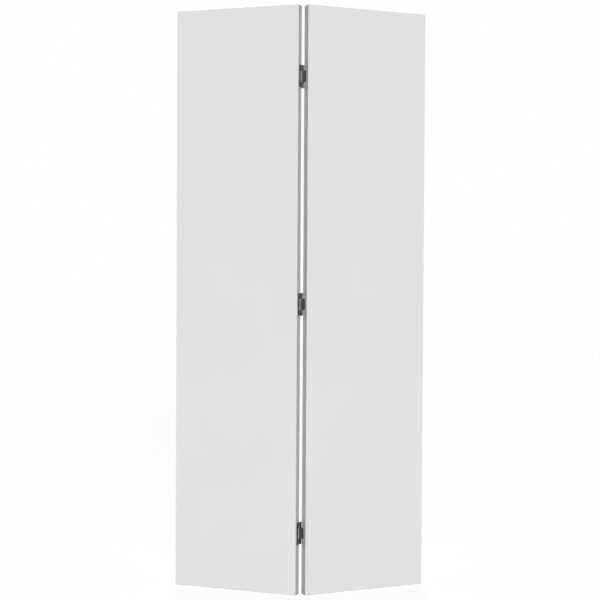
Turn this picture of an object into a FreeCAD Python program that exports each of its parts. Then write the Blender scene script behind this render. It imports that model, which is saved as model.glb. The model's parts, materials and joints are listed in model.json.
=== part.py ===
"""Bifold closet door: two flush hollow-core panels that fold on three non-mortise hinges.

Millimetres, +Z up. The door stands half folded, as a tent in plan: the front faces look
towards -Y, the fold stands out towards -Y, and the outer edges lie back towards +Y.
The origin is under the middle of the door's bounding box, on the surface it stands on.

Every piece is drawn for a door that is shut flat, as part of the right-hand panel:
the fold axis is the Z axis, the panel runs out along +X, and its back face is
AXIS_SETBACK in front of the axis. place() mirrors a piece to the left-hand panel
where needed, turns it by half the fold and moves the axis to its place.
"""
import FreeCAD
import Part
import math
import os

Vector = FreeCAD.Vector
X_AXIS = Vector(1, 0, 0)
Z_AXIS = Vector(0, 0, 1)
ORIGIN = Vector(0, 0, 0)
SAME_PLACE = 1e-6            # lengths this close are equal
MOST_OF_WALL = 0.9           # a rounding takes no more of its wall than this
HEXAGON_TURN = math.radians(60)

# Door
DOOR_HEIGHT = 2006.6         # 79 in, for an 80 in opening
PANEL_WIDTH = 449.2          # two panels and the gap make 35 1/2 in, for a 36 in opening
PANEL_THICKNESS = 34.9       # 1 3/8 in
PANEL_GAP = 3.2              # between the meeting edges when the door is shut flat
REST_FOLD = 43.0             # degrees that the two panels are folded from flat

# Panel construction
SKIN_THICKNESS = 3.2         # hardboard face sheet
ARRIS_RADIUS = 1.2           # eased long corners of a skin
MEETING_STILE_WIDTH = 28.6   # takes the hinge screws
OUTER_STILE_WIDTH = 38.1     # takes the pivots
RAIL_HEIGHT = 57.2
LOCK_BLOCK_WIDTH = 63.5      # solid wood behind the place for a knob
LOCK_BLOCK_HEIGHT = 304.8
LOCK_BLOCK_CENTRE = 940.0    # above the floor
CORE_CELL_SIDE = 36.0        # one side of a hexagonal paper cell
CORE_PAPER = 0.6

# Holes for pivots and guide, drilled up and down into the outer stiles
PIVOT_HOLE_RADIUS = 4.76     # 3/8 in
PIVOT_HOLE_DEPTH = 45.0
PIVOT_HOLE_INSET = 20.6      # from the outer edge to the hole's centre

# Hinges
TOP_HINGE_DROP = 238.0       # top of the door to the top hinge's middle
BOTTOM_HINGE_RISE = 207.0    # floor to the bottom hinge's middle
MIDDLE_HINGE_LIFT = 4.0      # from halfway between the other two up to the middle hinge's middle
HINGE_HEIGHT = 76.2          # 3 in
LEAF_GAUGE = 1.8
AXIS_SETBACK = 7.5           # back faces to the fold axis
KNUCKLE_GAP = 0.3            # along the pin, between knuckles
ROLL_SEAM = 0.35             # slit where the rolled knuckle meets its own leaf
OUTER_LEAF_REACH = 24.0      # how far the leaf lies along the panel's edge
OUTER_LEAF_CORNER = 3.0
INNER_LEAF_REACH = 16.5
INNER_LEAF_HEIGHT = 38.6
INNER_LEAF_CHAMFER = 5.0     # cut corners that let the leaves nest
NEST_CLEARANCE = 0.8         # inner leaf to the outer leaf's window
LEAF_EDGE_RADIUS = 0.3       # stamped edges of the exposed face
BARREL_CHAMFER = 0.3
PIN_RADIUS = 2.38            # 3/16 in pin
PIN_CLEARANCE = 0.05
PIN_HEAD_RADIUS = 3.6
PIN_HEAD_HEIGHT = 1.2
PIN_HEAD_ROUND = 1.0

# Hinge screws, No. 6 flat heads with a cross recess
SCREW_LENGTH = 19.0
SCREW_HEAD_RADIUS = 3.2
SCREW_CREST_RADIUS = 1.75
SCREW_ROOT_RADIUS = 1.2
SCREW_PITCH = 1.6
SCREW_TIP = 3.0
COUNTERSINK_ANGLE = 82.0
SCREW_CLEARANCE = 0.05
PILOT_END_SPACE = 1.0        # beyond the screw's point
RECESS_REACH = 1.7           # from the screw's axis to the end of each wing
RECESS_WIDTH = 0.8
RECESS_DEPTH = 1.3
RECESS_FLOOR = 0.45          # reach of each wing at the bottom of the recess
OUTER_SCREW_INSET = 13.0     # back face to the screws of the outer leaf
INNER_SCREW_INSET = 8.5      # back face to the screws of the inner leaf
INNER_SCREW_SPACING = 22.0

# Planes of the right-hand panel, shut flat
INNER_X = PANEL_GAP / 2
OUTER_X = INNER_X + PANEL_WIDTH
BACK_Y = -AXIS_SETBACK
FRONT_Y = BACK_Y - PANEL_THICKNESS
CAVITY_BACK_Y = BACK_Y - SKIN_THICKNESS
CAVITY_FRONT_Y = FRONT_Y + SKIN_THICKNESS
CAVITY_INNER_X = INNER_X + MEETING_STILE_WIDTH
CAVITY_OUTER_X = OUTER_X - OUTER_STILE_WIDTH
CAVITY_TOP = DOOR_HEIGHT - RAIL_HEIGHT
PIVOT_X = OUTER_X - PIVOT_HOLE_INSET
PIVOT_Y = (BACK_Y + FRONT_Y) / 2
LEAF_FACE_X = INNER_X - LEAF_GAUGE
BARREL_RADIUS = PIN_RADIUS + PIN_CLEARANCE + LEAF_GAUGE   # the leaf is rolled round its pin
HALF_FOLD = REST_FOLD / 2

# Hinge heights
HINGE_CENTRES = {
    "top": DOOR_HEIGHT - TOP_HINGE_DROP,
    "middle": (DOOR_HEIGHT - TOP_HINGE_DROP + BOTTOM_HINGE_RISE) / 2 + MIDDLE_HINGE_LIFT,
    "bottom": BOTTOM_HINGE_RISE,
}
OUTER_KNUCKLE_INNER_END = INNER_LEAF_HEIGHT / 2 + KNUCKLE_GAP
WINDOW_HALF_HEIGHT = INNER_LEAF_HEIGHT / 2 + NEST_CLEARANCE
WINDOW_REACH = INNER_LEAF_REACH + NEST_CLEARANCE
OUTER_SCREW_RISE = (WINDOW_HALF_HEIGHT + HINGE_HEIGHT / 2) / 2


def axis_place():
    """Y of the fold axis that puts the bounding box's middle on the origin."""
    turn = math.radians(HALF_FOLD)
    ease = arris_radius()
    nearest = (INNER_X + ease) * math.sin(turn) + (FRONT_Y + ease) * math.cos(turn) - ease
    farthest = (OUTER_X - ease) * math.sin(turn) + (BACK_Y - ease) * math.cos(turn) + ease
    return -(nearest + farthest) / 2


def arris_radius():
    return min(ARRIS_RADIUS, MOST_OF_WALL * SKIN_THICKNESS)


def place(shape, hand):
    """Moves a piece drawn on the shut right-hand panel to its place in the folded door."""
    placed = shape.copy()
    if hand == "left":
        placed = placed.mirror(ORIGIN, X_AXIS)
    placed.rotate(ORIGIN, Z_AXIS, HALF_FOLD if hand == "right" else -HALF_FOLD)
    placed.translate(Vector(0, axis_place(), 0))
    return placed


def save(node, shape):
    shape.exportStep(os.path.join("parts", node + ".step"))


def block(x0, x1, y0, y1, z0, z1):
    return Part.makeBox(x1 - x0, y1 - y0, z1 - z0, Vector(x0, y0, z0))


def prism(points, direction):
    """Solid swept by a closed outline of points."""
    outline = Part.makePolygon(points + points[:1])
    return Part.Face(outline).extrude(direction)


# Panels

def skin(visible_y, glued_y):
    """Face sheet with its two long corners eased on the visible side."""
    sheet = block(INNER_X, OUTER_X, min(visible_y, glued_y), max(visible_y, glued_y), 0, DOOR_HEIGHT)
    corners = [
        edge for edge in sheet.Edges
        if abs(edge.Length - DOOR_HEIGHT) < SAME_PLACE
        and all(abs(vertex.Y - visible_y) < SAME_PLACE for vertex in edge.Vertexes)
    ]
    return sheet.makeFillet(arris_radius(), corners)


def meeting_stile(screw_places):
    """Stile on the meeting edge, with the pilot holes of the hinge screws."""
    stile = block(INNER_X, CAVITY_INNER_X, CAVITY_FRONT_Y, CAVITY_BACK_Y, 0, DOOR_HEIGHT)
    return stile.cut([at_screw(screw_void(), y, z) for y, z in screw_places])


def outer_stile():
    """Stile on the outer edge, bored from both ends for a pivot or a guide."""
    stile = block(CAVITY_OUTER_X, OUTER_X, CAVITY_FRONT_Y, CAVITY_BACK_Y, 0, DOOR_HEIGHT)
    bores = [
        Part.makeCylinder(PIVOT_HOLE_RADIUS, PIVOT_HOLE_DEPTH, Vector(PIVOT_X, PIVOT_Y, z), Z_AXIS)
        for z in (0, DOOR_HEIGHT - PIVOT_HOLE_DEPTH)
    ]
    return stile.cut(bores)


def rail(bottom):
    """Rail that closes the frame between the stiles."""
    return block(CAVITY_INNER_X, CAVITY_OUTER_X, CAVITY_FRONT_Y, CAVITY_BACK_Y,
                 bottom, bottom + RAIL_HEIGHT)


def lock_block():
    """Block against the meeting stile, for the screw of a knob."""
    bottom = LOCK_BLOCK_CENTRE - LOCK_BLOCK_HEIGHT / 2
    return block(CAVITY_INNER_X, CAVITY_INNER_X + LOCK_BLOCK_WIDTH,
                 CAVITY_FRONT_Y, CAVITY_BACK_Y, bottom, bottom + LOCK_BLOCK_HEIGHT)


def paper_ribbon(x, first_period, periods, mirrored, bottom):
    """One corrugated ribbon of paper on edge: its flats meet those of its neighbours."""
    slant = CORE_CELL_SIDE * math.cos(HEXAGON_TURN)
    rise = CORE_CELL_SIDE * math.sin(HEXAGON_TURN)
    near, far = (x + rise, x) if mirrored else (x, x + rise)
    period = 2 * (CORE_CELL_SIDE + slant)
    path = []
    for turn in range(first_period, first_period + periods):
        z = bottom + turn * period
        path += [(near, z), (near, z + CORE_CELL_SIDE)]
        path += [(far, z + CORE_CELL_SIDE + slant), (far, z + 2 * CORE_CELL_SIDE + slant)]
    path.append((near, bottom + (first_period + periods) * period))
    one_side = [Vector(px, CAVITY_FRONT_Y, pz) for px, pz in path]
    other_side = [Vector(px + CORE_PAPER, CAVITY_FRONT_Y, pz) for px, pz in reversed(path)]
    return prism(one_side + other_side, Vector(0, CAVITY_BACK_Y - CAVITY_FRONT_Y, 0))


def honeycomb_core():
    """Glued paper ribbons that fill the frame; those in line with the lock block stop short of it."""
    period = 2 * CORE_CELL_SIDE * (1 + math.cos(HEXAGON_TURN))
    pitch = CORE_CELL_SIDE * math.sin(HEXAGON_TURN) + CORE_PAPER
    clear_width = CAVITY_OUTER_X - CAVITY_INNER_X
    clear_height = CAVITY_TOP - RAIL_HEIGHT
    ribbons = int(clear_width // pitch)
    periods = int(clear_height // period)
    start_x = CAVITY_INNER_X + (clear_width - ribbons * pitch) / 2
    bottom = RAIL_HEIGHT + (clear_height - periods * period) / 2
    block_bottom = LOCK_BLOCK_CENTRE - LOCK_BLOCK_HEIGHT / 2
    below = int((block_bottom - bottom) // period)
    above = math.ceil((block_bottom + LOCK_BLOCK_HEIGHT - bottom) / period)
    paper = []
    for number in range(ribbons):
        x = start_x + number * pitch
        beside_block = x < CAVITY_INNER_X + LOCK_BLOCK_WIDTH
        runs = [(0, below), (above, periods - above)] if beside_block else [(0, periods)]
        for first, count in runs:
            paper.append(paper_ribbon(x, first, count, number % 2 == 1, bottom))
    return Part.makeCompound(paper)


# Hinge screws

def screw_head_height():
    return (SCREW_HEAD_RADIUS - SCREW_CREST_RADIUS) / math.tan(math.radians(COUNTERSINK_ANGLE / 2))


def turned(profile):
    """Solid of revolution about X from (x, radius) points that start and end on the axis."""
    points = [Vector(x, radius, 0) for x, radius in profile]
    face = Part.Face(Part.makePolygon(points + points[:1]))
    return face.revolve(ORIGIN, X_AXIS, 360)


def screw():
    """Wood screw along +X with its head's flat at x = 0; the thread is drawn as rings."""
    head = screw_head_height()
    profile = [(0, 0), (0, SCREW_HEAD_RADIUS), (head, SCREW_CREST_RADIUS)]
    rings = int((SCREW_LENGTH - head - SCREW_TIP) // SCREW_PITCH)
    for ring in range(rings):
        x = head + ring * SCREW_PITCH
        profile += [(x + SCREW_PITCH / 2, SCREW_ROOT_RADIUS), (x + SCREW_PITCH, SCREW_CREST_RADIUS)]
    profile += [(SCREW_LENGTH - SCREW_TIP, SCREW_ROOT_RADIUS), (SCREW_LENGTH, 0)]
    wing = [
        Vector(0, -RECESS_REACH, -RECESS_WIDTH / 2),
        Vector(0, RECESS_REACH, -RECESS_WIDTH / 2),
        Vector(RECESS_DEPTH, RECESS_FLOOR, -RECESS_WIDTH / 2),
        Vector(RECESS_DEPTH, -RECESS_FLOOR, -RECESS_WIDTH / 2),
    ]
    slot = prism(wing, Vector(0, 0, RECESS_WIDTH))
    crossing = slot.copy()
    crossing.rotate(ORIGIN, X_AXIS, 90)
    return turned(profile).cut([slot, crossing])


def screw_void():
    """Room that a screw needs in its leaf and in the stile."""
    head = screw_head_height()
    end = SCREW_LENGTH + PILOT_END_SPACE
    shank = SCREW_CREST_RADIUS + SCREW_CLEARANCE
    return turned([(0, 0), (0, SCREW_HEAD_RADIUS + SCREW_CLEARANCE), (head, shank), (end, shank), (end, 0)])


def at_screw(shape, y, z):
    """Copy of a screw or its void, driven through a leaf into the meeting edge."""
    moved = shape.copy()
    moved.translate(Vector(LEAF_FACE_X, y, z))
    return moved


def outer_screw_places(centre):
    y = BACK_Y - OUTER_SCREW_INSET
    return [(y, centre - OUTER_SCREW_RISE), (y, centre + OUTER_SCREW_RISE)]


def inner_screw_places(centre):
    y = BACK_Y - INNER_SCREW_INSET
    return [(y, centre - INNER_SCREW_SPACING / 2), (y, centre + INNER_SCREW_SPACING / 2)]


# Hinges

def leaf_plate(outline):
    """Flat of a leaf from (y, z) points, with the edges of its exposed face softened."""
    plate = prism([Vector(LEAF_FACE_X, y, z) for y, z in outline], Vector(LEAF_GAUGE, 0, 0))
    exposed = [
        edge for edge in plate.Edges
        if all(abs(vertex.X - LEAF_FACE_X) < SAME_PLACE for vertex in edge.Vertexes)
    ]
    return plate.makeFillet(LEAF_EDGE_RADIUS, exposed)


def knuckle(bottom, top):
    """Solid barrel length with chamfered ends, before it is bored."""
    barrel = Part.makeCylinder(BARREL_RADIUS, top - bottom, Vector(0, 0, bottom), Z_AXIS)
    rims = [edge for edge in barrel.Edges if len(edge.Vertexes) == 1]
    return barrel.makeChamfer(BARREL_CHAMFER, rims)


def bored_leaf(plate, spans, screw_places, centre):
    """Joins a leaf's plate to its knuckles, then bores the pin and screw holes and slits the roll."""
    leaf = plate.fuse([knuckle(bottom, top) for bottom, top in spans])
    cuts = [Part.makeCylinder(PIN_RADIUS + PIN_CLEARANCE, HINGE_HEIGHT,
                              Vector(0, 0, -HINGE_HEIGHT / 2), Z_AXIS)]
    for bottom, top in spans:
        cuts.append(block(LEAF_FACE_X - ROLL_SEAM, LEAF_FACE_X, -BARREL_RADIUS, 0, bottom, top))
    leaf = leaf.cut(cuts)
    leaf.translate(Vector(0, 0, centre))
    return leaf.cut([at_screw(screw_void(), y, z) for y, z in screw_places])


def outer_leaf(centre):
    """Frame-shaped leaf: two end tabs with knuckles, joined by a strip past the window."""
    tip = BACK_Y - OUTER_LEAF_REACH
    window = BACK_Y - WINDOW_REACH
    half = HINGE_HEIGHT / 2
    corner = INNER_LEAF_CHAMFER
    tab = WINDOW_HALF_HEIGHT
    round_off = OUTER_LEAF_CORNER
    outline = [
        (0, -half), (tip + round_off, -half), (tip, -half + round_off),
        (tip, half - round_off), (tip + round_off, half), (0, half),
        (0, tab), (window + corner, tab), (window, tab - corner),
        (window, corner - tab), (window + corner, -tab), (0, -tab),
    ]
    spans = [(-half, -OUTER_KNUCKLE_INNER_END), (OUTER_KNUCKLE_INNER_END, half)]
    return bored_leaf(leaf_plate(outline), spans, outer_screw_places(centre), centre)


def inner_leaf(centre):
    """Tongue-shaped leaf that nests in the outer leaf's window when the door is shut."""
    tip = BACK_Y - INNER_LEAF_REACH
    half = INNER_LEAF_HEIGHT / 2
    corner = INNER_LEAF_CHAMFER
    outline = [
        (0, -half), (tip + corner, -half), (tip, -half + corner),
        (tip, half - corner), (tip + corner, half), (0, half),
    ]
    return bored_leaf(leaf_plate(outline), [(-half, half)], inner_screw_places(centre), centre)


def hinge_pin(centre):
    """Fixed pin with a rounded head at each end."""
    half = HINGE_HEIGHT / 2 + PIN_CLEARANCE
    pin = Part.makeCylinder(PIN_RADIUS, 2 * half, Vector(0, 0, -half), Z_AXIS)
    head = Part.makeCylinder(PIN_HEAD_RADIUS, PIN_HEAD_HEIGHT, Vector(0, 0, half), Z_AXIS)
    crown = [edge for edge in head.Edges
             if len(edge.Vertexes) == 1 and edge.Vertexes[0].Z > half + PIN_HEAD_HEIGHT / 2]
    head = head.makeFillet(min(PIN_HEAD_ROUND, MOST_OF_WALL * PIN_HEAD_HEIGHT), crown)
    foot = head.mirror(ORIGIN, Z_AXIS)
    pin = pin.fuse([head, foot])
    pin.translate(Vector(0, 0, centre))
    return pin


def make_panel(hand):
    places = outer_screw_places if hand == "left" else inner_screw_places
    screw_places = [spot for centre in HINGE_CENTRES.values() for spot in places(centre)]
    save(hand + "_front_skin", place(skin(FRONT_Y, CAVITY_FRONT_Y), hand))
    save(hand + "_back_skin", place(skin(BACK_Y, CAVITY_BACK_Y), hand))
    save(hand + "_meeting_stile", place(meeting_stile(screw_places), hand))
    save(hand + "_outer_stile", place(outer_stile(), hand))
    save(hand + "_top_rail", place(rail(CAVITY_TOP), hand))
    save(hand + "_bottom_rail", place(rail(0), hand))
    save(hand + "_lock_block", place(lock_block(), hand))
    save(hand + "_honeycomb_core", place(honeycomb_core(), hand))


def make_hinge(name):
    centre = HINGE_CENTRES[name]
    one_screw = screw()
    outer_screws = [at_screw(one_screw, y, z) for y, z in outer_screw_places(centre)]
    inner_screws = [at_screw(one_screw, y, z) for y, z in inner_screw_places(centre)]
    save(name + "_hinge_outer_leaf", place(outer_leaf(centre), "left"))
    save(name + "_hinge_inner_leaf", place(inner_leaf(centre), "right"))
    save(name + "_hinge_pin", place(hinge_pin(centre), "left"))
    save(name + "_hinge_outer_screws", place(Part.makeCompound(outer_screws), "left"))
    save(name + "_hinge_inner_screws", place(Part.makeCompound(inner_screws), "right"))


def main():
    os.makedirs("parts", exist_ok=True)
    for hand in ("left", "right"):
        make_panel(hand)
    for name in HINGE_CENTRES:
        make_hinge(name)
    hole = place(Part.Vertex(PIVOT_X, PIVOT_Y, 0), "right").Point
    print("fold axis at y = %.4f" % axis_place())
    print("right-hand pivot hole axis at x = %.4f, y = %.4f" % (hole.x, hole.y))


main()
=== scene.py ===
"""Looks of a bifold closet door: primed panels with raw ends, plated hinges, floor, light and camera."""
import bpy
import bmesh
import json
import math
from mathutils import Matrix, Vector


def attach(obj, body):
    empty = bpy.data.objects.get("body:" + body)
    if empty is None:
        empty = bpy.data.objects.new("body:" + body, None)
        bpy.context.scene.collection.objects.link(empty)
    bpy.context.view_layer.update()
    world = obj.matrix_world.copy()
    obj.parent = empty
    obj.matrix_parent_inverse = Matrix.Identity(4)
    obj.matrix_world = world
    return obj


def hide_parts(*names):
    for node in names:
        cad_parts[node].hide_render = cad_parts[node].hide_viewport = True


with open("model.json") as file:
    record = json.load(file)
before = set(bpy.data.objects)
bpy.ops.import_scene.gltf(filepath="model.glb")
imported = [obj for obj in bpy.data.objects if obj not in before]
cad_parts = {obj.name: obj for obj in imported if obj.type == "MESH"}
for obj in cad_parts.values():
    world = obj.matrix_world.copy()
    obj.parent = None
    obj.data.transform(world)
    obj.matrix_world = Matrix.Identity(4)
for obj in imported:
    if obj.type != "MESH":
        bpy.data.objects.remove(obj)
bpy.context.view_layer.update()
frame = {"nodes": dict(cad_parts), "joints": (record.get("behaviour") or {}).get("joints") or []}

# Everything is in metres unless its name says otherwise
MM = 0.001
HANDS = ("left", "right")
HINGES = ("top", "middle", "bottom")
BODY_OF_HAND = {"left": "left_panel", "right": "right_panel"}

# Boards
ARRIS = 1.2 * MM             # eased long corners of the face sheets
ARRIS_STEPS = 5
SAWN_CORNER = 0.2 * MM       # every other corner, which leaves fine lines where boards meet
SAWN_STEPS = 2
SAME_PLANE = 0.01 * MM
SHARP_ANGLE = math.radians(60)

# Primer: two coats on the faces, one on the edges, where the pine drinks it and it dries a shade greyer.
# Part of that grey on the edges is painted shade, for the shade the meeting edges lie in deep in the fold.
# It is full of chalk, so it mirrors less than a clear acrylic, whose IOR is 1.49.
FACE_WHITES = ("#E4E4E4", "#E6E6E6")
EDGE_WHITES_AND_SHADE = ("#DBDBDB", "#DEDEDE")
PRIMER_IOR = 1.4
PRIMER_ROUGHNESS = 0.66

# Wood and paper
WOOD_IOR = 1.5
SAWN_ROUGHNESS = 0.85
PLANED_ROUGHNESS = 0.75
PAPER_ROUGHNESS = 0.9

# Where the pith of each board's trunk lay, in a panel's own millimetres: across, through and up
STILE_PITH = (150.0, 60.0, 0.0)
BLOCK_PITH = (-90.0, 50.0, 0.0)
RAIL_PITH_THROUGH = 45.0
RAIL_PITH_BEYOND_END = 40.0  # so the rings run lengthwise on the panel's ends

# Hinge steel: darkest and palest tone, roughness, and millimetres from dent to dent. The tones are a dark
# grey that is partly painted shade, for the hinges' place deep in the fold.
STEEL_TONES_AND_SHADE = {
    "leaf": ("#3C3D40", "#4A4B4E", 0.36, 0.6),
    "pin": ("#404145", "#4E4F53", 0.30, 0.4),
    "screw": ("#46474B", "#56575C", 0.32, 0.4),
}

# Camera: a long lens at chest height, tipped down a degree, with a small shift
IMAGE_PIXELS = 600
FOCAL_PIXELS = 1327.2
LENS_CENTRE_PIXEL = 291.0
SENSOR_WIDTH_MM = 36.0
CAMERA_PLACE = Vector((-0.1624, -4.5979, 1.1446))
CAMERA_TURN = math.radians(-1.979)
CAMERA_TILT = math.radians(1.353)
CAMERA_ROLL = math.radians(0.325)

# Light: soft lamps far off at both sides, in front and behind, and a small one low before the fold
AMBIENT = 0.14
# name, degrees round from the front to the right, degrees up, degrees of spread, strength
FAR_LAMPS = (
    ("left_lamp", -88.0, 2.0, 4.0, 2.12),
    ("right_lamp", 88.0, 2.0, 4.0, 1.88),
    ("front_lamp", 4.5, 10.0, 24.0, 1.86),
    ("back_lamp", 180.0, 20.0, 24.0, 2.6),
)
LOW_LAMP_PLACE = Vector((-0.3, -1.8, 0.10))
LOW_LAMP_AIM = Vector((0.0, 0.0, 0.30))
LOW_LAMP_SIZE = (0.6, 0.2)
LOW_LAMP_WATTS = 2.0
FLOOR_REACH = 60.0
FLOOR_GREY = "#7C7C7C"       # what the lamps see, so that the floor throws little light back
FLOOR_GLOW = 0.875           # what the lens sees of the floor in shade, where 1 is white
CREASE_REACH = 6 * MM        # the floor's last strip before the door, which gets darker still: a painted contact shadow


# The door's own geometry, read from the frame

fold = frame["joints"][0]
fold_axis = Vector(fold["pos_m"])
half_fold = math.radians(-fold["range_deg"][0]) / 2


def from_flat(hand):
    """Matrix from a panel of the door shut flat, with the fold axis as Z, to its place at rest."""
    turn = half_fold if hand == "right" else -half_fold
    return Matrix.Translation(fold_axis) @ Matrix.Rotation(turn, 4, "Z")


def flat_box(node, hand):
    """Lowest and highest corner of a CAD node when its panel is shut flat."""
    flatten = from_flat(hand).inverted()
    corners = [flatten @ vertex.co for vertex in frame["nodes"][node].data.vertices]
    low = Vector([min(corner[i] for corner in corners) for i in range(3)])
    high = Vector([max(corner[i] for corner in corners) for i in range(3)])
    return low, high


# Shader helpers

def linear(hex_colour):
    """Linear RGBA of an sRGB hex colour."""
    channels = [int(hex_colour[i:i + 2], 16) / 255 for i in (1, 3, 5)]
    return [c / 12.92 if c <= 0.04045 else ((c + 0.055) / 1.055) ** 2.4 for c in channels] + [1.0]


def add(tree, kind, inputs=None, stops=(), **settings):
    """Adds a node. Inputs are values, or sockets to link; stops are a ramp's places and colours."""
    node = tree.nodes.new(kind)
    for name, value in settings.items():
        setattr(node, name, value)
    for name, value in (inputs or {}).items():
        if isinstance(value, bpy.types.NodeSocket):
            tree.links.new(value, node.inputs[name])
        else:
            node.inputs[name].default_value = value
    for number, (place, colour) in enumerate(stops):
        elements = node.color_ramp.elements
        element = elements[number] if number < len(elements) else elements.new(place)
        element.position = place
        element.color = linear(colour)
    return node


def new_material(name):
    """Empty material and its node tree."""
    material = bpy.data.materials.new(name)
    material.use_nodes = True
    material.node_tree.nodes.clear()
    return material, material.node_tree


def panel_coordinates(tree, hand):
    """Millimetres in a panel's own frame: x across its width and y through it from the middle, z up."""
    front, _ = flat_box(hand + "_front_skin", hand)
    _, back = flat_box(hand + "_back_skin", hand)
    middle = Vector(((front.x + back.x) / 2, (front.y + back.y) / 2, 0))
    flatten = Matrix.Translation(-middle) @ from_flat(hand).inverted()
    where = add(tree, "ShaderNodeTexCoord")
    mapping = add(tree, "ShaderNodeMapping", {
        "Vector": where.outputs["Object"], "Scale": (1 / MM, 1 / MM, 1 / MM),
        "Rotation": flatten.to_euler(), "Location": flatten.to_translation() / MM}, vector_type="POINT")
    return mapping.outputs["Vector"]


def raw_mask(tree, place, hand):
    """0 on the panel's skin, 1 deeper in, past the ragged rim of overspray on ends and in holes."""
    front, _ = flat_box(hand + "_front_skin", hand)
    _, back = flat_box(hand + "_back_skin", hand)
    half_width = (back.x - front.x) / 2 / MM
    half_thickness = (back.y - front.y) / 2 / MM
    apart = add(tree, "ShaderNodeSeparateXYZ", {0: place})
    to_surface = []
    for axis, half_size in (("X", half_width), ("Y", half_thickness)):
        off_middle = add(tree, "ShaderNodeMath", {0: apart.outputs[axis]}, operation="ABSOLUTE")
        inside = add(tree, "ShaderNodeMath", {0: half_size, 1: off_middle.outputs[0]}, operation="SUBTRACT")
        to_surface.append(inside.outputs[0])
    depth = add(tree, "ShaderNodeMath", {0: to_surface[0], 1: to_surface[1]}, operation="MINIMUM")
    # the rim is 0.4 to 1.6 mm wide and wanders every 5 mm
    wander = add(tree, "ShaderNodeTexNoise", {"Vector": place, "Scale": 1 / 5.0, "Detail": 4.0})
    reach = add(tree, "ShaderNodeMath", {0: wander.outputs["Fac"], 1: 3.0, 2: -0.5},
                operation="MULTIPLY_ADD")
    past = add(tree, "ShaderNodeMath", {0: depth.outputs[0], 1: reach.outputs[0]}, operation="SUBTRACT")
    mask = add(tree, "ShaderNodeMapRange", {"Value": past.outputs[0], "From Min": -0.1, "From Max": 0.5})
    return mask.outputs[0]


# Surfaces: each gives a colour and a height

def primer(tree, place, whites):
    """Acrylic primer, sprayed and oven dried: an even, nearly matt white with a faint orange peel."""
    # a whisper of drift in the white, over about 300 mm
    drift = add(tree, "ShaderNodeTexNoise", {"Vector": place, "Scale": 1 / 300.0, "Detail": 2.0})
    colour = add(tree, "ShaderNodeValToRGB", {"Fac": drift.outputs["Fac"]},
                 stops=((0.35, whites[0]), (0.65, whites[1])))
    # orange peel: dimples about 2 mm across
    peel = add(tree, "ShaderNodeTexNoise", {
        "Vector": place, "Scale": 1 / 2.0, "Detail": 2.0, "Roughness": 0.4})
    return colour.outputs["Color"], peel.outputs["Fac"]


def pine(tree, place, along, pith):
    """Radiata pine, sawn: pale yearly rings about a pith line, darker late wood, and long fibres."""
    across = [0.0 if axis == along else 1.0 for axis in "xyz"]
    # the trunk bends by a few millimetres over each 200 mm of length
    bend = add(tree, "ShaderNodeTexNoise", {"Vector": place, "Scale": 1 / 200.0, "Detail": 2.0})
    bent = add(tree, "ShaderNodeVectorMath", {0: bend.outputs["Color"], "Scale": 24.0}, operation="SCALE")
    swayed = add(tree, "ShaderNodeVectorMath", {0: place, 1: bent.outputs[0]}, operation="ADD")
    centred = add(tree, "ShaderNodeVectorMath", {0: swayed.outputs[0], 1: pith}, operation="SUBTRACT")
    section = add(tree, "ShaderNodeVectorMath", {0: centred.outputs[0], 1: across}, operation="MULTIPLY")
    radius = add(tree, "ShaderNodeVectorMath", {0: section.outputs[0]}, operation="LENGTH")
    # one ring each 3.2 mm
    rings = add(tree, "ShaderNodeMath", {0: radius.outputs["Value"], 1: 1 / 3.2}, operation="MULTIPLY")
    year = add(tree, "ShaderNodeMath", {0: rings.outputs[0]}, operation="FRACT")
    tone = add(tree, "ShaderNodeValToRGB", {"Fac": year.outputs[0]}, stops=(
        (0.0, "#DDC193"), (0.55, "#D6B481"), (0.85, "#BC8D54"), (0.97, "#AD7A42"), (1.0, "#DDC193")))
    # fibres 0.4 mm wide and some 20 mm long
    stretch = [0.05 if axis == along else 2.5 for axis in "xyz"]
    thin = add(tree, "ShaderNodeVectorMath", {0: place, 1: stretch}, operation="MULTIPLY")
    fibre = add(tree, "ShaderNodeTexNoise", {"Vector": thin.outputs[0], "Scale": 1.0, "Detail": 3.0})
    wood = add(tree, "ShaderNodeMix", {0: 0.25, 6: tone.outputs["Color"], 7: fibre.outputs["Color"]},
               data_type="RGBA", blend_type="OVERLAY")
    return wood.outputs[2], fibre.outputs["Fac"]


def hardboard(tree, place):
    """Hardboard, sawn: dense brown felt of pressed wood fibre."""
    # fibre bundles about 0.8 mm long
    felt = add(tree, "ShaderNodeTexNoise", {
        "Vector": place, "Scale": 1 / 0.8, "Detail": 5.0, "Roughness": 0.7})
    tone = add(tree, "ShaderNodeValToRGB", {"Fac": felt.outputs["Fac"]},
               stops=((0.3, "#5E4129"), (0.5, "#7A583A"), (0.72, "#94714F")))
    return tone.outputs["Color"], felt.outputs["Fac"]


# Materials

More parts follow.
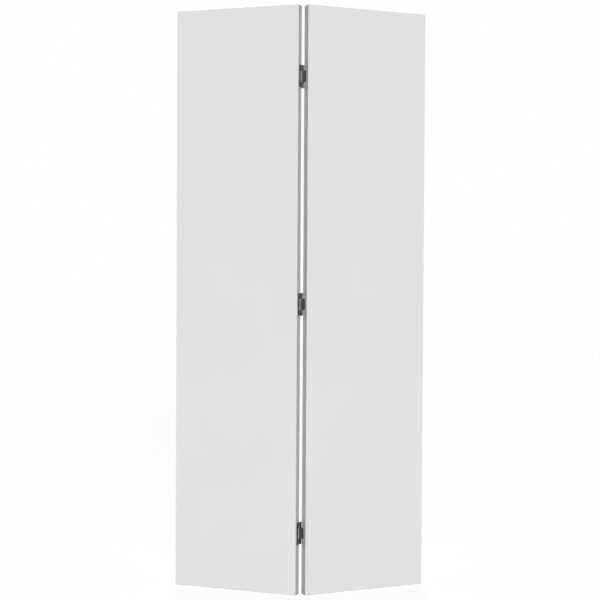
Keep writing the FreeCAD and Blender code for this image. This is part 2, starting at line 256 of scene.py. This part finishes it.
def primed(tree, place, hand, whites, bare):
    """Primer over a bare surface, which shows on sawn ends and in holes."""
    raw = raw_mask(tree, place, hand)
    paint_colour, paint_height = primer(tree, place, whites)
    bare_colour, bare_height = bare
    colour = add(tree, "ShaderNodeMix", {0: raw, 6: paint_colour, 7: bare_colour}, data_type="RGBA")
    rough = add(tree, "ShaderNodeMapRange", {
        "Value": raw, "To Min": PRIMER_ROUGHNESS, "To Max": SAWN_ROUGHNESS})
    # the peel is 0.01 mm deep and the sawn fibres stand 0.15 mm high
    peel = add(tree, "ShaderNodeBump", {"Height": paint_height, "Distance": 0.01 * MM})
    sawn = add(tree, "ShaderNodeMath", {0: bare_height, 1: raw}, operation="MULTIPLY")
    bump = add(tree, "ShaderNodeBump", {
        "Height": sawn.outputs[0], "Distance": 0.15 * MM, "Normal": peel.outputs["Normal"]})
    shader = add(tree, "ShaderNodeBsdfPrincipled", {
        "Base Color": colour.outputs[2], "Roughness": rough.outputs[0],
        "Normal": bump.outputs["Normal"], "IOR": PRIMER_IOR})
    add(tree, "ShaderNodeOutputMaterial", {"Surface": shader.outputs[0]})


def primed_hardboard(hand):
    material, tree = new_material("sprayed_primer_on_hardboard_" + hand)
    place = panel_coordinates(tree, hand)
    primed(tree, place, hand, FACE_WHITES, hardboard(tree, place))
    return material


def primed_stile(hand):
    material, tree = new_material("sprayed_primer_on_pine_stile_" + hand)
    place = panel_coordinates(tree, hand)
    # the stile takes the greyer edge white, which is partly painted shade
    primed(tree, place, hand, EDGE_WHITES_AND_SHADE, pine(tree, place, "z", STILE_PITH))
    return material


def primed_rail(hand, end):
    material, tree = new_material("sprayed_primer_on_pine_%s_rail_%s" % (end, hand))
    place = panel_coordinates(tree, hand)
    low, high = flat_box("%s_%s_rail" % (hand, end), hand)
    if end == "top":
        pith_height = high.z / MM + RAIL_PITH_BEYOND_END
    else:
        pith_height = low.z / MM - RAIL_PITH_BEYOND_END
    pith = (0.0, RAIL_PITH_THROUGH, pith_height)
    # the rail takes the greyer edge white, which is partly painted shade
    primed(tree, place, hand, EDGE_WHITES_AND_SHADE, pine(tree, place, "x", pith))
    return material


def planed_block(hand):
    """Lock block: bare planed pine, pale and matt."""
    material, tree = new_material("planed_pine_block_" + hand)
    place = panel_coordinates(tree, hand)
    colour, height = pine(tree, place, "z", BLOCK_PITH)
    bump = add(tree, "ShaderNodeBump", {"Height": height, "Distance": 0.1 * MM})
    shader = add(tree, "ShaderNodeBsdfPrincipled", {
        "Base Color": colour, "Roughness": PLANED_ROUGHNESS,
        "Normal": bump.outputs["Normal"], "IOR": WOOD_IOR})
    add(tree, "ShaderNodeOutputMaterial", {"Surface": shader.outputs[0]})
    return material


def kraft_paper():
    """Unbleached kraft paper, calendered: brown and matt, with a soft cloud of fibres."""
    material, tree = new_material("calendered_kraft_paper")
    where = add(tree, "ShaderNodeTexCoord")
    # fibres about 1.5 mm long
    fibre = add(tree, "ShaderNodeTexNoise", {
        "Vector": where.outputs["Object"], "Scale": 1 / (1.5 * MM), "Detail": 4.0})
    tone = add(tree, "ShaderNodeValToRGB", {"Fac": fibre.outputs["Fac"]},
               stops=((0.3, "#8C6A45"), (0.7, "#B08A5E")))
    shader = add(tree, "ShaderNodeBsdfPrincipled", {
        "Base Color": tone.outputs["Color"], "Roughness": PAPER_ROUGHNESS})
    add(tree, "ShaderNodeOutputMaterial", {"Surface": shader.outputs[0]})
    return material


def tumbled_steel(part):
    """Steel, tumbled and plated: a dark grey, partly painted shade for the fold it sits in, with fine dents
    that blur what it mirrors.
    """
    dark, pale, roughness, grain = STEEL_TONES_AND_SHADE[part]
    material, tree = new_material("plated_steel_and_painted_shade_" + part)
    where = add(tree, "ShaderNodeTexCoord")
    dents = add(tree, "ShaderNodeTexNoise", {
        "Vector": where.outputs["Object"], "Scale": 1 / (grain * MM), "Detail": 4.0})
    # the plating's tone drifts over about 12 mm
    cloud = add(tree, "ShaderNodeTexNoise", {
        "Vector": where.outputs["Object"], "Scale": 1 / (12 * MM), "Detail": 3.0})
    tone = add(tree, "ShaderNodeValToRGB", {"Fac": cloud.outputs["Fac"]},
               stops=((0.35, dark), (0.65, pale)))
    rough = add(tree, "ShaderNodeMapRange", {
        "Value": dents.outputs["Fac"], "From Min": 0.3, "From Max": 0.7,
        "To Min": roughness - 0.06, "To Max": roughness + 0.06})
    bump = add(tree, "ShaderNodeBump", {"Height": dents.outputs["Fac"], "Distance": 0.02 * MM})
    shader = add(tree, "ShaderNodeBsdfPrincipled", {
        "Base Color": tone.outputs["Color"], "Metallic": 1.0, "Roughness": rough.outputs[0],
        "Normal": bump.outputs["Normal"]})
    add(tree, "ShaderNodeOutputMaterial", {"Surface": shader.outputs[0]})
    return material


# Pieces

def dress(item, material):
    """Gives a piece or a CAD node one material."""
    item.data.materials.clear()
    item.data.materials.append(material)


def ease(shape, edges, width, steps):
    """Rounds some corners of a board."""
    bmesh.ops.bevel(shape, geom=edges, offset=width, offset_type="OFFSET", segments=steps,
                    profile=0.5, affect="EDGES", material=-1, clamp_overlap=True)


def board(name, node, hand, eased_side=None):
    """Straight board in place of a CAD node, with soft corners. Its eased side has rounder long ones."""
    low, high = flat_box(node, hand)
    shape = bmesh.new()
    bmesh.ops.create_cube(shape, size=1.0, matrix=Matrix.LocRotScale((low + high) / 2, None, high - low))
    if eased_side:
        face_y = low.y if eased_side == "front" else high.y
        long_corners = [
            edge for edge in shape.edges
            if all(abs(vertex.co.y - face_y) < SAME_PLANE for vertex in edge.verts)
            and abs(edge.verts[0].co.z - edge.verts[1].co.z) > SAME_PLANE
        ]
        ease(shape, long_corners, ARRIS, ARRIS_STEPS)
    corners = [edge for edge in shape.edges if edge.calc_face_angle() > SHARP_ANGLE]
    ease(shape, corners, SAWN_CORNER, SAWN_STEPS)
    narrow = ARRIS * (high.z - low.z)
    for face in shape.faces:
        face.smooth = face.calc_area() < narrow
    shape.transform(from_flat(hand))
    bmesh.ops.recalc_face_normals(shape, faces=shape.faces)
    mesh = bpy.data.meshes.new(name)
    shape.to_mesh(mesh)
    shape.free()
    piece = bpy.data.objects.new(name, mesh)
    bpy.context.scene.collection.objects.link(piece)
    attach(piece, BODY_OF_HAND[hand])
    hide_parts(node)
    return piece


def make_panel(hand):
    """Sheets and rails in place of their CAD nodes, and finishes for the rest of a panel."""
    sheet_finish = primed_hardboard(hand)
    stile_finish = primed_stile(hand)
    for side in ("front", "back"):
        sheet = board("%s_%s_sheet" % (hand, side), "%s_%s_skin" % (hand, side), hand, side)
        dress(sheet, sheet_finish)
    for end in ("top", "bottom"):
        bar = board("%s_%s_bar" % (hand, end), "%s_%s_rail" % (hand, end), hand)
        dress(bar, primed_rail(hand, end))
    for stile in ("meeting_stile", "outer_stile"):
        dress(frame["nodes"]["%s_%s" % (hand, stile)], stile_finish)
    dress(frame["nodes"][hand + "_lock_block"], planed_block(hand))


def make_cores():
    paper = kraft_paper()
    for hand in HANDS:
        dress(frame["nodes"][hand + "_honeycomb_core"], paper)


def make_hinges():
    leaf_steel = tumbled_steel("leaf")
    pin_steel = tumbled_steel("pin")
    screw_steel = tumbled_steel("screw")
    for hinge in HINGES:
        for leaf in ("outer_leaf", "inner_leaf"):
            dress(frame["nodes"]["%s_hinge_%s" % (hinge, leaf)], leaf_steel)
        dress(frame["nodes"][hinge + "_hinge_pin"], pin_steel)
        for screws in ("outer_screws", "inner_screws"):
            dress(frame["nodes"]["%s_hinge_%s" % (hinge, screws)], screw_steel)


# Studio

def seen_directly(tree):
    """1 for what the lens sees, straight or by way of metal or glass."""
    rays = add(tree, "ShaderNodeLightPath")
    mirrored = add(tree, "ShaderNodeMath", {
        0: rays.outputs["Is Camera Ray"], 1: rays.outputs["Is Glossy Ray"]}, operation="MAXIMUM")
    seen = add(tree, "ShaderNodeMath", {
        0: mirrored.outputs[0], 1: rays.outputs["Is Transmission Ray"]}, operation="MAXIMUM")
    return seen.outputs[0]


def studio_floor():
    """White floor that meets the white backdrop unseen and keeps the door's shadow, with a painted contact
    shadow that darkens its glow at the door's foot.
    """
    material, tree = new_material("white_studio_floor")
    crease = add(tree, "ShaderNodeAmbientOcclusion", {"Distance": CREASE_REACH}, samples=16)
    # the glow is painted darker in creases as a contact shadow: open floor is 0.9 and more; a corner that
    # is 0.4 open or less gets dark
    open_floor = add(tree, "ShaderNodeMapRange", {
        "Value": crease.outputs["AO"], "From Min": 0.4, "From Max": 0.9, "To Max": FLOOR_GLOW})
    glow = add(tree, "ShaderNodeMath", {0: seen_directly(tree), 1: open_floor.outputs[0]},
               operation="MULTIPLY")
    shader = add(tree, "ShaderNodeBsdfPrincipled", {
        "Base Color": linear(FLOOR_GREY), "Roughness": 0.9, "Specular IOR Level": 0.0,
        "Emission Color": linear("#FFFFFF"), "Emission Strength": glow.outputs[0]})
    add(tree, "ShaderNodeOutputMaterial", {"Surface": shader.outputs[0]})
    shape = bmesh.new()
    bmesh.ops.create_grid(shape, x_segments=1, y_segments=1, size=FLOOR_REACH)
    mesh = bpy.data.meshes.new("studio_floor")
    shape.to_mesh(mesh)
    shape.free()
    floor = bpy.data.objects.new("studio_floor", mesh)
    bpy.context.scene.collection.objects.link(floor)
    dress(floor, material)
    return floor


def studio_world():
    """Dim soft light from all round; the lens and polished metal see plain white."""
    world = bpy.data.worlds.new("studio")
    bpy.context.scene.world = world
    world.use_nodes = True
    tree = world.node_tree
    tree.nodes.clear()
    strength = add(tree, "ShaderNodeMath", {0: seen_directly(tree), 1: 1.0 - AMBIENT, 2: AMBIENT},
                   operation="MULTIPLY_ADD")
    background = add(tree, "ShaderNodeBackground", {
        "Color": linear("#FFFFFF"), "Strength": strength.outputs[0]})
    add(tree, "ShaderNodeOutputWorld", {"Surface": background.outputs[0]})


def spare_floor(light, floor):
    """Keeps a lamp's light off the floor, where it would draw a bright pool."""
    receivers = bpy.data.collections.new("spared_by_" + light.name)
    receivers.objects.link(floor)
    receivers.collection_objects[0].light_linking.link_state = "EXCLUDE"
    light.light_linking.receiver_collection = receivers


def studio_lamps(floor):
    """The far lamps, and a low one that lights the foot of the fold but not the floor."""
    for name, azimuth, elevation, spread, strength in FAR_LAMPS:
        lamp = bpy.data.lights.new(name, "SUN")
        lamp.energy = strength
        lamp.angle = math.radians(spread)
        light = bpy.data.objects.new(name, lamp)
        # unturned it shines down: tip it up to its elevation, then swing it round
        light.rotation_euler = (math.radians(90 - elevation), 0, math.radians(azimuth))
        bpy.context.scene.collection.objects.link(light)
    lamp = bpy.data.lights.new("low_lamp", "AREA")
    lamp.shape = "RECTANGLE"
    lamp.size = LOW_LAMP_SIZE[0]
    lamp.size_y = LOW_LAMP_SIZE[1]
    lamp.energy = LOW_LAMP_WATTS
    light = bpy.data.objects.new("low_lamp", lamp)
    aim = (LOW_LAMP_AIM - LOW_LAMP_PLACE).to_track_quat("-Z", "Y").to_matrix().to_4x4()
    light.matrix_world = Matrix.Translation(LOW_LAMP_PLACE) @ aim
    light.visible_camera = False
    bpy.context.scene.collection.objects.link(light)
    spare_floor(light, floor)


def studio_camera():
    """Camera with the place, aim and lens given at the top."""
    lens = bpy.data.cameras.new("camera")
    lens.sensor_width = SENSOR_WIDTH_MM
    lens.lens = FOCAL_PIXELS / IMAGE_PIXELS * SENSOR_WIDTH_MM
    lens.shift_y = (LENS_CENTRE_PIXEL - IMAGE_PIXELS / 2) / IMAGE_PIXELS
    stand = bpy.data.objects.new("camera", lens)
    bpy.context.scene.collection.objects.link(stand)
    aim = Matrix.Rotation(CAMERA_TURN, 4, "Z") @ Matrix.Rotation(math.pi / 2 - CAMERA_TILT, 4, "X")
    stand.matrix_world = Matrix.Translation(CAMERA_PLACE) @ aim @ Matrix.Rotation(CAMERA_ROLL, 4, "Z")
    bpy.context.scene.camera = stand


studio_camera()
for hand in HANDS:
    make_panel(hand)
make_cores()
make_hinges()
floor = studio_floor()
studio_world()
studio_lamps(floor)
bpy.context.scene.view_settings.view_transform = "Standard"
